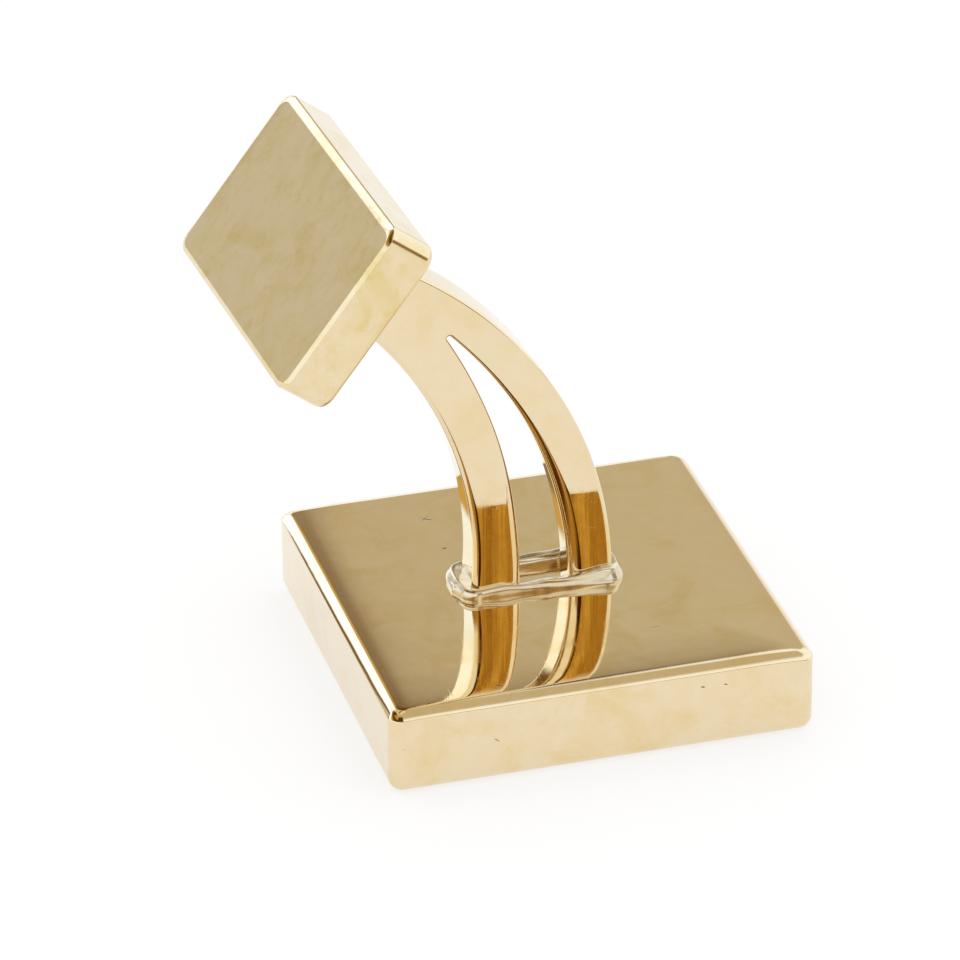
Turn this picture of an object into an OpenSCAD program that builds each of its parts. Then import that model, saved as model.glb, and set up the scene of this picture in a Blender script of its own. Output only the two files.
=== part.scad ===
// Cufflink with a square face, a curved post split into two legs, and a small oblong end piece.
// It lies on its face. +Z runs from the face up to the end piece, X runs along one side of the
// face, the post bends towards -X, and the origin is the middle of the face.
// Lengths are in millimetres and angles in degrees.

/* [Face] */
// Side of the square face
face_side = 15; // [13:0.5:18]
// Height of the face block, from the face to its back
face_height = 3.2; // [2.8:0.1:4.2]
// Thickness of the pressed sheet that makes the face and its four walls
face_wall = 0.6; // [0.45:0.05:0.8]
// Thickness of the flat sheet that closes the back of the face
back_sheet_t = 0.8; // [0.6:0.05:1]
// Rounding of the rim round the face
face_rim_r = 0.5; // [0.3:0.05:0.6]
// Rounding of the rim round the back sheet
back_rim_r = 0.42; // [0.2:0.02:0.5]
// Rounding of the face block's four upright corners
face_corner_r = 0.5; // [0.3:0.05:0.8]
// Rounding inside the pressed face
face_inner_r = 0.2; // [0.1:0.05:0.3]

/* [Post] */
// Thickness of the post, from one flat side to the other
post_t = 1.65; // [1.3:0.05:2.2]
// Distance over both legs where they stand on the back sheet
foot_span = 5.1; // [4.4:0.1:6]
// How far the middle of the foot lies from the middle of the face
foot_shift = -0.22; // [-1:0.02:1]
// Width of the leg on the inside of the bend, at its foot
inner_leg_w = 1.74; // [1.3:0.02:1.9]
// Width of the leg on the outside of the bend, at its foot
outer_leg_w = 1.54; // [1.2:0.02:1.8]
// Height of the end piece's seat above the back sheet
post_rise = 13.1; // [12:0.1:15]
// How far the seat lies to the side of the foot's middle
post_reach = 7.2; // [6:0.1:8]
// Width of the post along its seat on the end piece
post_end_w = 2.06; // [1.8:0.02:2.6]
// Height of the slot's pointed end above the back sheet
slot_height = 10.75; // [9:0.05:11]
// Radius of the small round end of the slot
slot_end_r = 0.12; // [0.1:0.01:0.16]
// How far the round end's middle lies short of the slot's point
slot_end_back = 0.25; // [0.15:0.05:0.4]
// Rounding of the post's edges on the outside of the bend
outer_edge_r = 0.25; // [0.1:0.05:0.35]
// Rounding of the post's edges on the inside of the bend
inner_edge_r = 0.2; // [0.1:0.05:0.35]
// Rounding of the slot's edges
slot_edge_r = 0.16; // [0.06:0.02:0.2]
// Lean of the outside curve at its foot, away from the bend
outer_lean = 0.5; // [-2:0.1:2]
// Lean of the inside curve at its foot, away from the bend
inner_lean = 7.2; // [5:0.1:9]
// Lean of the slot's curve on the inner leg, at the foot
slot_inner_lean = 1.8; // [0:0.1:3]
// Lean of the slot's curve on the outer leg, at the foot
slot_outer_lean = -0.3; // [-2:0.1:1]

/* [Foot solder] */
// How far the solder round the legs spreads from them on the back sheet
foot_solder_reach = 0.52; // [0.35:0.01:0.7]
// Height of the solder round the legs
foot_solder_h = 0.42; // [0.3:0.02:0.6]
// How far the solder bridges reach in between the legs, past the post's flat sides
foot_bridge_in = 0.2; // [0.1:0.02:0.35]
// Rounding of the solder's top edge
foot_solder_edge_r = 0.3; // [0.1:0.02:0.3]

/* [End piece] */
// Long side of the end piece, across the bend
end_long = 10.9; // [9:0.1:13]
// Short side of the end piece
end_short = 6.6; // [5.6:0.1:8]
// Thickness of the end piece
end_depth = 2; // [1.7:0.05:2.6]
// Thickness of the pressed sheet of the end piece
end_wall = 0.5; // [0.4:0.05:0.65]
// Thickness of the sheet that closes the end piece towards the post
end_sheet_t = 0.6; // [0.45:0.05:0.75]
// Rounding of the end piece's edges and corners
end_edge_r = 0.3; // [0.15:0.05:0.4]
// Rounding inside the pressed end piece
end_inner_r = 0.15; // [0.1:0.05:0.25]
// Tilt of the end piece from lying flat
end_tilt = 52.2; // [46:0.2:58]
// Turn of the end piece about the upright
end_yaw = 6; // [-8:0.5:8]
// Turn of the end piece in its own plane
end_spin = -2.5; // [-5:0.5:5]
// How far the end piece's middle lies above the middle of the post's end
end_up_shift = 0.16; // [-0.4:0.02:0.4]
// How far the end piece's middle lies to the side of the middle of the post's end
end_side_shift = 0.16; // [-0.4:0.02:0.4]
// How far the solder round the post's end spreads on the end piece
end_solder_reach = 0.3; // [0.2:0.02:0.4]
// Height of the solder round the post's end
end_solder_h = 0.25; // [0.15:0.01:0.35]

/* [Hidden] */

// How far a cut runs past what it cuts
over = 0.5;
// Gap between the post and the solder round it, which keeps the two solids apart
solder_gap = 0.01;
// Where the slot's point lies between the inside curve and the outside curve
slot_point_share = 0.57;
// Faces round a small rounding, and round the post's long curves
$fn = 48;
long_curve_fn = 240;

gold = [0.86, 0.7, 0.4];
amber_gold = [0.82, 0.6, 0.24];
pale_gold = [0.9, 0.78, 0.5];
silver_solder = [0.84, 0.82, 0.77];

// The post's curves lie in the XZ plane. Here a point is [x, height above the back sheet].
inner_foot = [foot_shift - foot_span / 2, 0];
outer_foot = [foot_shift + foot_span / 2, 0];
seat = [foot_shift - post_reach, post_rise];
along_seat = [cos(end_tilt), sin(end_tilt)];

// An arc leaves one point, leaning away from the bend, and passes through another
function arc_r(from, to, lean) =
    let (d = from - to)
    (d * d) / (2 * (d.x * cos(lean) - d.y * sin(lean)));
function arc_middle(from, r, lean) = from + r * [-cos(lean), sin(lean)];
function arc_x(middle, r, height) = middle.x + sqrt(r * r - pow(height - middle.y, 2));
function angle_at(middle, point) = atan2(point.y - middle.y, point.x - middle.x);

outer_r = arc_r(outer_foot, seat + along_seat * post_end_w / 2, outer_lean);
outer_middle = arc_middle(outer_foot, outer_r, outer_lean);
inner_r = arc_r(inner_foot, seat - along_seat * post_end_w / 2, inner_lean);
inner_middle = arc_middle(inner_foot, inner_r, inner_lean);

// The slot is a crescent: its two curves start at the legs' feet and meet at its point
inside_at_point = arc_x(inner_middle, inner_r, slot_height);
outside_at_point = arc_x(outer_middle, outer_r, slot_height);
slot_point = [inside_at_point + slot_point_share * (outside_at_point - inside_at_point), slot_height];
slot_inner_foot = inner_foot + [inner_leg_w, 0];
slot_outer_foot = outer_foot - [outer_leg_w, 0];
slot_inner_r = arc_r(slot_inner_foot, slot_point, slot_inner_lean);
slot_inner_middle = arc_middle(slot_inner_foot, slot_inner_r, slot_inner_lean);
slot_outer_r = arc_r(slot_outer_foot, slot_point, slot_outer_lean);
slot_outer_middle = arc_middle(slot_outer_foot, slot_outer_r, slot_outer_lean);
slot_end_angle = (angle_at(slot_inner_middle, slot_point) + angle_at(slot_outer_middle, slot_point)) / 2;
slot_end = slot_point + slot_end_back * [sin(slot_end_angle), -cos(slot_end_angle)];

// Side of a cube that is larger than the whole post
beyond = 3 * (post_rise + post_reach);

// What a round corner leaves out of a square one: the corner is at the origin, the solid is at +X +Y
module corner_nick(r) {
    difference() {
        translate([-over, -over]) square(r + over);
        translate([r, r]) circle(r);
    }
}

// Rectangle standing on the X axis, with its two low and its two high corners rounded
module rounded_outline(w, h, low_r, high_r) {
    difference() {
        translate([-w / 2, 0]) square([w, h]);
        for (side = [0, 1]) mirror([side, 0]) {
            translate([-w / 2, 0]) corner_nick(low_r);
            translate([-w / 2, h]) mirror([0, 1]) corner_nick(high_r);
        }
    }
}

// Block standing on the XY plane, with rounded upright corners, low rim and high rim
module soft_block(l, w, h, corner_r, low_r, high_r) {
    intersection() {
        translate([0, -w / 2, -over]) linear_extrude(h + 2 * over)
            rounded_outline(l, w, corner_r, corner_r);
        rotate([90, 0, 0]) linear_extrude(w + 2 * over, center = true)
            rounded_outline(l, h, low_r, high_r);
        rotate([90, 0, 90]) linear_extrude(l + 2 * over, center = true)
            rounded_outline(w, h, low_r, high_r);
    }
}

// Pressed tray, open at the top: a block less its hollow, cut off level
module pressed_tray(l, w, full_h, rim_h, wall, corner_r, low_r, high_r, inside_r) {
    difference() {
        soft_block(l, w, full_h, corner_r, low_r, high_r);
        translate([0, 0, wall])
            soft_block(l - 2 * wall, w - 2 * wall, full_h, inside_r, inside_r, inside_r);
        translate([-l, -w, rim_h]) cube([2 * l, 2 * w, full_h]);
    }
}

// Round disc on edge, its axis along Y, with both rims rounded
module rim_disc(r, w, edge_r) {
    rotate([90, 0, 0]) rotate_extrude($fn = long_curve_fn) difference() {
        translate([0, -w / 2]) square([r, w]);
        for (side = [0, 1]) mirror([0, side])
            translate([r, -w / 2]) mirror([1, 0]) corner_nick(edge_r);
    }
}

// What a round opening with rounded rims takes out of a wall, its axis along Y
module rim_bore(r, w, edge_r) {
    rotate([90, 0, 0]) rotate_extrude($fn = long_curve_fn) union() {
        translate([0, -w / 2 - over]) square([r, w + 2 * over]);
        for (side = [0, 1]) mirror([0, side]) difference() {
            translate([r - edge_r, -w / 2 - over]) square([2 * edge_r, edge_r + over]);
            translate([r + edge_r, edge_r - w / 2]) circle(edge_r);
        }
    }
}

// Places what follows at a point of the post's plane, above the back sheet
module on_post(point) {
    translate([point.x, 0, face_height + point.y]) children();
}

// The end piece's seat: +Z points out of the end piece's outer face, and the seat is at Z zero
module at_end_seat() {
    on_post(seat) rotate([0, 0, end_yaw]) rotate([0, -end_tilt, 0]) rotate([0, 0, end_spin]) children();
}

module at_end_piece() {
    at_end_seat() translate([end_up_shift, end_side_shift, 0]) children();
}

// The post, or with a gap, the room that another piece leaves for it
module post_body(gap = 0) {
    difference() {
        on_post(outer_middle) rim_disc(outer_r + gap, post_t + 2 * gap, outer_edge_r + gap);
        on_post(inner_middle) rim_bore(inner_r - gap, post_t + 2 * gap, inner_edge_r + gap);
        difference() {
            on_post(slot_outer_middle) rim_bore(slot_outer_r - gap, post_t + 2 * gap, slot_edge_r + gap);
            on_post(slot_inner_middle) rim_disc(slot_inner_r + gap, post_t + 2 * gap, slot_edge_r + gap);
        }
        on_post(slot_end) rotate([90, 0, 0])
            cylinder(h = post_t + 2 * over, r = slot_end_r - gap, center = true);
        translate([-beyond / 2, -beyond / 2, face_height - beyond]) cube(beyond);
        at_end_seat() translate([-beyond / 2, -beyond / 2, 0]) cube(beyond);
    }
}

// The face and its four walls, pressed from one sheet, lying face down
module face_shell() color(gold)
    pressed_tray(face_side, face_side, face_height, face_height - back_sheet_t, face_wall,
                 face_corner_r, face_rim_r, back_rim_r, face_inner_r);

// The flat sheet soldered over the tray, flush with its walls
module back_sheet() color(gold) difference() {
    soft_block(face_side, face_side, face_height, face_corner_r, face_rim_r, back_rim_r);
    translate([-face_side, -face_side, -over])
        cube([2 * face_side, 2 * face_side, face_height - back_sheet_t + over]);
}

// One bar, parted by its slot into two legs, cut level at the foot and square to the end piece
module split_post() color(amber_gold) post_body();

// Solder round the legs, with an open window between them
module foot_solder() color(silver_solder) difference() {
    translate([foot_shift, 0, face_height])
        soft_block(foot_span + 2 * foot_solder_reach, post_t + 2 * foot_solder_reach, foot_solder_h,
                   foot_solder_reach, 0, foot_solder_edge_r);
    translate([slot_inner_foot.x - slot_edge_r, foot_bridge_in - post_t / 2, face_height - over])
        cube([slot_outer_foot.x - slot_inner_foot.x + 2 * slot_edge_r,
              post_t - 2 * foot_bridge_in, foot_solder_h + 2 * over]);
    post_body(solder_gap);
}

// The end piece's outer face and its walls, pressed from one sheet
module end_shell() color(pale_gold) at_end_piece()
    translate([0, 0, end_depth]) mirror([0, 0, 1])
        pressed_tray(end_short, end_long, end_depth, end_depth - end_sheet_t, end_wall,
                     end_edge_r, end_edge_r, end_edge_r, end_inner_r);

// The sheet that closes the end piece and carries it on the post
module end_sheet() color(pale_gold) at_end_piece() difference() {
    soft_block(end_short, end_long, end_depth, end_edge_r, end_edge_r, end_edge_r);
    translate([-end_short, -end_long, end_sheet_t]) cube([2 * end_short, 2 * end_long, end_depth]);
}

// Thin solder round the post's end, under the end piece
module end_solder() color(silver_solder) difference() {
    at_end_seat() mirror([0, 0, 1])
        soft_block(post_end_w + 2 * end_solder_reach, post_t + 2 * end_solder_reach, end_solder_h,
                   end_solder_reach, 0, end_solder_h / 2);
    post_body(solder_gap);
}

face_shell();
back_sheet();
split_post();
foot_solder();
end_shell();
end_sheet();
end_solder();
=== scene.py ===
"""Looks of a plain fixed cufflink in yellow gold.

A square block and a small tilted oblong end piece, each a pressed tray closed by a soldered
sheet, are joined by a curved post that is split into two legs. The settings are in metres.
The functions that shape the metal work in millimetres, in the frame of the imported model.
"""

import math

import bpy
import numpy as np
from bpy.props import FloatProperty, FloatVectorProperty, IntProperty, PointerProperty
from mathutils import Matrix, Vector, noise


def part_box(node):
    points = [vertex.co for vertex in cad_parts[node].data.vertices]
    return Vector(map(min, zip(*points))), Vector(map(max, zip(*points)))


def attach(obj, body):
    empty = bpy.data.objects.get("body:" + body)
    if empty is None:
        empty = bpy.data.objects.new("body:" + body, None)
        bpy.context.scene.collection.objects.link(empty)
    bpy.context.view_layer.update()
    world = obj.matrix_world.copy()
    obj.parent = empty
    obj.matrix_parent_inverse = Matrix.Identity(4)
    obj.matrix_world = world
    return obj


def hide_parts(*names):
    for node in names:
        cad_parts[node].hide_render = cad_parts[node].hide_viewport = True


bl_info = {
    "name": "Fixed cufflink",
    "version": (1, 0, 0),
    "blender": (4, 5, 0),
    "location": "3D View > Sidebar > Cufflink",
    "description": "Shapes and finishes a plain fixed cufflink in yellow gold",
    "category": "Object",
}

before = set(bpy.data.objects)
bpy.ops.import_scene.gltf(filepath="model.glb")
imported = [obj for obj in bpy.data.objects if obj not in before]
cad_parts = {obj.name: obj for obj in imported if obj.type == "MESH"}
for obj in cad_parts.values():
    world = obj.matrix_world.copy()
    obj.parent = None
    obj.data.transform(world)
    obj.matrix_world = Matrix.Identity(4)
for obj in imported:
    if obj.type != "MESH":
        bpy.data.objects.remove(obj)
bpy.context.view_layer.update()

MM = 0.001


def side_of(node, side, axis):
    """Where a solid's box ends, in millimetres. Side 0 is its lowest, and side 1 its highest."""
    return round(float(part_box(node)[side][axis]) / MM, 3)


BLOCK_HALF = side_of("face_shell", 1, 0)
BLOCK_TOP = side_of("back_sheet", 1, 2)
BLOCK_SEAM = side_of("back_sheet", 0, 2)
POST_HALF_THICK = side_of("split_post", 1, 1)

UPRIGHT_CORNER = 0.5     # radius of the block's four upright edges
CORNER_MOST = 0.6        # a ring's corners take at most this share of its half width
CORNER_STEPS = 12
RING_GAP = 0.02          # the least step between two rings of a face

SEAT = np.array([-7.42, 13.1])     # the end piece's seat, along X and up from the block's back
SEAT_TILT = 52.2                   # degrees
END_HALF = (3.3, 5.45)
END_DEPTH = 2.0
END_SEAM = 0.6


# ---------------------------------------------------------------- settings


def length(name, description, default):
    """A setting in metres."""
    return FloatProperty(name=name, description=description, default=default, unit="LENGTH",
                         subtype="DISTANCE", min=0.0, precision=5)


def tint(name, description, default):
    """The colour of a surface."""
    return FloatVectorProperty(name=name, description=description, default=default, size=3,
                               subtype="COLOR", min=0.0, max=1.0)


def light(name, description, default):
    """The colour of a light, which may be brighter than white."""
    return FloatVectorProperty(name=name, description=description, default=default, size=3,
                               subtype="COLOR", min=0.0, soft_max=4.0)


def factor(name, description, default):
    """A share from none to all."""
    return FloatProperty(name=name, description=description, default=default, min=0.0, max=1.0,
                         subtype="FACTOR")


class BlockSettings(bpy.types.PropertyGroup):
    shoulder: length("Shoulder", "Length of the turn from the flat back into the rim", 0.0001)
    rim: length("Rim", "Length of the softly crowned rim round the back", 0.00036)
    face_round: length("Face rounding", "Radius of the rim of the display face", 0.0005)
    hand_finish: length("Hand finish", "How far the rim wanders from a straight line", 0.000012)


class PostSettings(bpy.types.PropertyGroup):
    outer_edge: length("Outer edge", "Radius of the edges outside the bend, near the end piece",
                       0.00011)
    outer_foot: length("Outer edge at the foot", "Radius of the same edges at the foot", 0.00026)
    inner_edge: length("Inner edge", "Radius of the edges along the inside of the bend", 0.00026)
    slot_edge: length("Slot edge", "Radius of the slot's edges at its top", 0.00015)
    slot_foot: length("Slot edge at the foot", "Radius of the slot's edges at the legs' feet",
                      0.00043)
    slot_end: length("Slot end", "Radius of the round top of the slot", 0.00008)
    crown: FloatProperty(name="Crown",
                         description="Tilt of the flat faces at their edges, left by polishing",
                         default=math.radians(1.5), min=0.0, max=0.2, subtype="ANGLE",
                         unit="ROTATION")
    stations: IntProperty(name="Stations", description="Points along each curve of the post",
                          default=180, min=24, max=240)


class EndSettings(bpy.types.PropertyGroup):
    band: length("Band", "Length of the soft band round each face", 0.00027)
    side_turn: length("Side turn", "Length of the quick turn from that band into the side", 0.00006)
    upright: length("Upright edge", "Radius of the four short upright edges", 0.00062)
    cover_round: length("Cover rounding", "Radius of the rim of the closing sheet", 0.00034)


class SolderSettings(bpy.types.PropertyGroup):
    foot_reach: length("Foot reach", "How far the solder spreads from the legs at either end",
                       0.00052)
    foot_height: length("Foot height", "Height of the solder round the legs", 0.0004)
    foot_climb: length("Foot climb", "Height that the solder climbs on the outer leg", 0.0006)
    end_reach: length("End reach", "How far the solder spreads on the end piece", 0.0003)
    end_height: length("End height", "Height of the solder under the end piece", 0.00025)


class FinishSettings(bpy.types.PropertyGroup):
    gold: tint("Gold", "Colour of the clean yellow gold", (0.83, 0.685, 0.45))
    warm_gold: tint("Warm gold", "Colour of the gold where handling has left a film",
                    (0.79, 0.61, 0.31))
    solder: tint("Solder", "Colour of the hard solder", (0.73, 0.65, 0.49))
    smudge: factor("Smudge", "Strength of the clouding by handling", 0.5)
    film: factor("Film", "Weight of the thin clear film on the metal", 0.8)


# The cards are one glowing dome of painted light, seen only in the metal's reflections, so each
# card colour below is the colour of a light.
class StudioSettings(bpy.types.PropertyGroup):
    floor_radius: length("Floor radius", "Radius of the white floor", 3.0)
    dome_radius: length("Dome radius", "Radius of the cards that the gold reflects", 0.6)
    khaki: tint("Khaki card", "Low card behind the object", (0.595, 0.515, 0.37))
    pale_khaki: tint("Pale khaki card", "Right end of the low card", (0.63, 0.57, 0.42))
    brown: tint("Brown card", "Dark upper end of the khaki card", (0.14, 0.07, 0.015))
    tan: tint("Tan card", "Card straight above", (0.65, 0.57, 0.40))
    amber: tint("Amber card", "Light streaks of the card behind the camera", (0.82, 0.54, 0.12))
    dark_amber: tint("Dark amber card", "Dark streaks of the card behind the camera",
                     (0.36, 0.17, 0.015))
    grey: tint("Grey card", "Card at the left behind the object", (0.67, 0.64, 0.56))
    window: light("Window", "Cool light of the window at the left behind", (1.45, 1.65, 2.0))
    pale_window: light("Pale window", "Softer light round the front and the sides",
                       (1.17, 1.24, 1.33))


# ---------------------------------------------------------------- shaping


class Skin:
    """Collects curved patches with their own normals, and makes one mesh of them."""

    def __init__(self):
        self.points, self.normals, self.faces = [], [], []
        self.count = 0

    def _keep(self, points, normals):
        start = self.count
        self.points.append(points)
        self.normals.append(normals)
        self.count += len(points)
        return start

    def patch(self, grid, closed=True, flip=False, normals=None):
        """A grid of points, rows by columns, whose columns close on themselves where closed.

        Given normals also say which way the faces look. Without them, flip turns both over.
        """
        rows, columns = grid.shape[:2]
        own = grid_normals(grid, closed)
        if normals is None:
            normals = -own if flip else own
        else:
            flip = np.sum(own * normals) < 0
        start = self._keep(grid.reshape(-1, 3), normals.reshape(-1, 3))
        last = columns if closed else columns - 1
        for i in range(rows - 1):
            for j in range(last):
                a = start + i * columns + j
                b = start + i * columns + (j + 1) % columns
                quad = (a, b, b + columns, a + columns)
                self.faces.append(quad[::-1] if flip else quad)

    def plate(self, ring, normal):
        """A flat face inside a ring of points, looking along its normal."""
        start = self._keep(ring, np.tile(np.asarray(normal, float), (len(ring), 1)))
        ids = tuple(range(start, start + len(ring)))
        turn = np.cross(ring, np.roll(ring, -1, axis=0)).sum(axis=0)
        self.faces.append(ids if turn @ normal > 0 else ids[::-1])

    def move(self, offset):
        self.points = [p + offset for p in self.points]

    def place(self, matrix):
        turn = np.array(matrix.to_3x3())
        self.points = [p @ turn.T for p in self.points]
        self.normals = [n @ turn.T for n in self.normals]
        self.move(np.array(matrix.translation))

    def make(self, name, replaces, slot):
        """The piece itself, in metres, with its finish and its place in the model."""
        mesh = bpy.data.meshes.new(name)
        mesh.from_pydata((np.concatenate(self.points) * MM).tolist(), [], self.faces)
        mesh.shade_smooth()
        normals = unit_length(np.concatenate(self.normals))
        mesh.normals_split_custom_set_from_vertices(normals.tolist())
        mesh.materials.append(finish_for(slot))
        piece = bpy.data.objects.new(name, mesh)
        bpy.context.scene.collection.objects.link(piece)
        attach(piece, "root")
        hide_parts(*replaces)
        return piece


def unit_length(vectors):
    """Vectors scaled to length 1. One without any length stays as it is."""
    size = np.linalg.norm(vectors, axis=-1, keepdims=True)
    return vectors / np.where(size > 1e-15, size, 1.0)


def between_neighbours(grid):
    """The step from the row before each row to the row after it."""
    padded = np.concatenate([grid[:1], grid, grid[-1:]])
    return padded[2:] - padded[:-2]


def grid_normals(grid, closed):
    """Normals of a grid. A long step counts for more than a short one, so flats stay flat."""
    across = between_neighbours(grid)
    if closed:
        along = np.roll(grid, -1, axis=1) - np.roll(grid, 1, axis=1)
    else:
        along = between_neighbours(grid.swapaxes(0, 1)).swapaxes(0, 1)
    return unit_length(np.cross(along, across))


def eased(share):
    """A share from 0 to 1 that starts and ends gently."""
    return share * share * (3 - 2 * share)


def at_height(flat, height=0.0):
    """Level points at one height."""
    return np.c_[flat, np.full(len(flat), height)]


def turned_edge(stretches):
    """Run outwards and drop of a rounded edge.

    Each stretch is (length, tilt at its start, tilt at its end, steps), with tilts in degrees.
    """
    run, drop = [0.0], [0.0]
    for span, tilt_from, tilt_to, steps in stretches:
        for i in range(steps):
            tilt = math.radians(tilt_from + (tilt_to - tilt_from) * (i + 0.5) / steps)
            run.append(run[-1] + span / steps * math.cos(tilt))
            drop.append(drop[-1] + span / steps * math.sin(tilt))
    return np.array(run), np.array(drop)


def outline(half_x, half_y, corner, side_steps):
    """Level outline of a rectangle with rounded corners, anticlockwise."""
    turn = np.linspace(0, math.pi / 2, CORNER_STEPS + 1)
    rounding = np.c_[np.cos(turn), np.sin(turn)] * corner
    points = []
    for cos, sin in ((1, 0), (0, 1), (-1, 0), (0, -1)):
        out, along = (half_y, half_x) if sin else (half_x, half_y)
        out, along = out - corner, along - corner
        side = np.linspace(-along, along, side_steps + 1)[1:-1]
        local = np.concatenate([np.c_[np.full(len(side), out + corner), side],
                                rounding + [out, along]])
        points.append(np.c_[local[:, 0] * cos - local[:, 1] * sin,
                            local[:, 0] * sin + local[:, 1] * cos])
    return np.concatenate(points)


def wander(points, scale, amount, seed):
    """A slow, seeded unevenness along a line of points."""
    shift = Vector((seed * 7.3, seed * 3.1, seed * 5.7))
    return np.array([noise.noise(Vector(p) * scale + shift) for p in points]) * amount


def wall_to(rows, ring, level, shares):
    """Adds the rings of an upright wall, from the last ring's height to a level seam."""
    last = rows[-1][:, 2]
    for share in shares:
        wall = ring.copy()
        wall[:, 2] = last * (1 - share) + level * share
        rows.append(wall)


def capped(rows, way=1):
    """A closed skin of rings. The first ring bounds the face that looks up, or down for way -1."""
    skin = Skin()
    skin.patch(np.array(rows), flip=way > 0)
    skin.plate(rows[0], (0, 0, way))
    skin.plate(rows[-1], (0, 0, -way))
    return skin


# ---------------------------------------------------------------- finishes


def add_node(tree, kind, **settings):
    made = tree.nodes.new(kind)
    for key, value in settings.items():
        setattr(made, key, value)
    return made


def feed(tree, source, target):
    tree.links.new(source, target)


def set_inputs(node, **values):
    """Sets inputs by name, in small letters and with a low line for each space."""
    sockets = {socket.name.lower().replace(" ", "_"): socket for socket in node.inputs}
    for key, value in values.items():
        sockets[key].default_value = value


def calculate(tree, operation, first, second=None, third=None, clamp=False):
    """A Math node. Each input is a socket or a number."""
    made = add_node(tree, "ShaderNodeMath", operation=operation, use_clamp=clamp)
    for i, value in enumerate((first, second, third)):
        if isinstance(value, bpy.types.NodeSocket):
            feed(tree, value, made.inputs[i])
        elif value is not None:
            made.inputs[i].default_value = value
    return made.outputs[0]


def product(tree, *values):
    """Two or more values, multiplied."""
    result = values[0]
    for value in values[1:]:
        result = calculate(tree, "MULTIPLY", result, value)
    return result


def largest(tree, values):
    result = values[0]
    for value in values[1:]:
        result = calculate(tree, "MAXIMUM", result, value)
    return result


def ease(tree, value, low, high, low_out=0.0, high_out=1.0):
    """A smooth step between two values."""
    made = add_node(tree, "ShaderNodeMapRange", interpolation_type="SMOOTHSTEP", clamp=True)
    feed(tree, value, made.inputs["Value"])
    for key, number in (("From Min", low), ("From Max", high), ("To Min", low_out),
                        ("To Max", high_out)):
        made.inputs[key].default_value = number
    return made.outputs["Result"]


def blend_colour(tree, share, first, second):
    """From the first colour to the second. Each is a socket or a plain colour."""
    made = add_node(tree, "ShaderNodeMix", data_type="RGBA", clamp_factor=True)
    feed(tree, share, made.inputs["Factor"])
    sockets = [i for i in made.inputs if i.type == "RGBA"]
    for socket, value in zip(sockets, (first, second)):
        if isinstance(value, bpy.types.NodeSocket):
            feed(tree, value, socket)
        else:
            socket.default_value = (*value, 1.0)
    return [o for o in made.outputs if o.type == "RGBA"][0]


def cloud(tree, vector, scale, detail=2.0, rough=0.5, distortion=0.0):
    """Soft noise round one half. The scale is in clouds to the millimetre."""
    made = add_node(tree, "ShaderNodeTexNoise")
    set_inputs(made, scale=scale, detail=detail, roughness=rough, distortion=distortion)
    feed(tree, vector, made.inputs["Vector"])
    return made.outputs["Fac"]


def patches(tree, vector, low, high, scale, detail=2.0, rough=0.5, distortion=0.0):
    """Clouds with clear metal between them, from the noise's low to its high value."""
    return ease(tree, cloud(tree, vector, scale, detail, rough, distortion), low, high)


def mapped(tree, vector, turn, scale, middle=(0, 0, 0), kind="POINT"):
    """A vector turned by degrees and scaled, or seen from a turned and scaled place."""
    made = add_node(tree, "ShaderNodeMapping", vector_type=kind)
    set_inputs(made, location=middle, rotation=[math.radians(a) for a in turn], scale=scale)
    feed(tree, vector, made.inputs["Vector"])
    return made.outputs["Vector"]


# Scratches and pits left by wear on the block: middle and half lengths in millimetres, and
# turns in degrees.
SMALL_MARKS = (
    ((-2.72, 5.02, 3.2), (0.30, 0.035, 0.3), (0, 0, -32)),
    ((-2.80, 5.10, 3.2), (0.20, 0.03, 0.3), (0, 0, 48)),
    ((-2.71, 2.86, 3.2), (0.11, 0.06, 0.3), (0, 0, 20)),
    ((2.67, -4.43, 3.2), (0.20, 0.03, 0.3), (0, 0, 4)),
    ((-3.45, -6.6, 3.2), (0.16, 0.05, 0.3), (0, 0, -12)),
    ((3.45, -7.5, 2.43), (0.10, 0.3, 0.045), (0, 12, 0)),
    ((4.26, -7.5, 2.40), (0.09, 0.3, 0.04), (0, 18, 0)),
    ((-3.81, -7.5, 1.61), (0.15, 0.3, 0.025), (0, 38, 0)),
)

# Three sets of hair scratches: how they are turned, in degrees, and the scale of the patches
# in which they show.
HAIR_SETS = (
    ((0, 0, 24), 0.7),
    ((0, 0, -38), 0.85),
    ((20, 15, 80), 1.0),
)
HAIR_STRETCH = (14.0, 0.35, 14.0)
LINE_STRETCH = (7.0, 7.0, 0.12)

PIT_SPACING = 0.75       # cells to the millimetre
PIT_SHARE = 0.28         # share of the cells that hold a pit
PIT_LEAST = 0.02         # radius of the smallest, and how much larger the largest is
PIT_RANGE = 0.035
PIT_BROWN, PIT_DARK = (0.30, 0.19, 0.07), 0.5
MARK_BROWN, MARK_DARK = (0.14, 0.075, 0.02), 0.85
MARK_DEPTH = 0.003
FILM_ROUGH, HAIR_ROUGH, PIT_ROUGH = 0.09, 0.08, 0.25     # what each adds to the roughness

METAL_INPUTS = (
    ("Clean", "NodeSocketColor", (0.83, 0.68, 0.43, 1.0)),
    ("Film", "NodeSocketColor", (0.80, 0.63, 0.36, 1.0)),
    ("Smudge", "NodeSocketFloat", 0.5),
    ("Gloss", "NodeSocketFloat", 0.06),
    ("Waves", "NodeSocketFloat", 0.004),
    ("Scratches", "NodeSocketFloat", 0.0003),
    ("Pits", "NodeSocketFloat", 0.01),
    ("Lines", "NodeSocketFloat", 0.0),
    ("Grain", "NodeSocketFloat", 0.0),
    ("Mottling", "NodeSocketFloat", 0.0),
    ("Marks", "NodeSocketFloat", 0.0),
)
METAL_OUTPUTS = (
    ("Color", "NodeSocketColor"),
    ("Roughness", "NodeSocketFloat"),
    ("Height", "NodeSocketFloat"),
)


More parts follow.
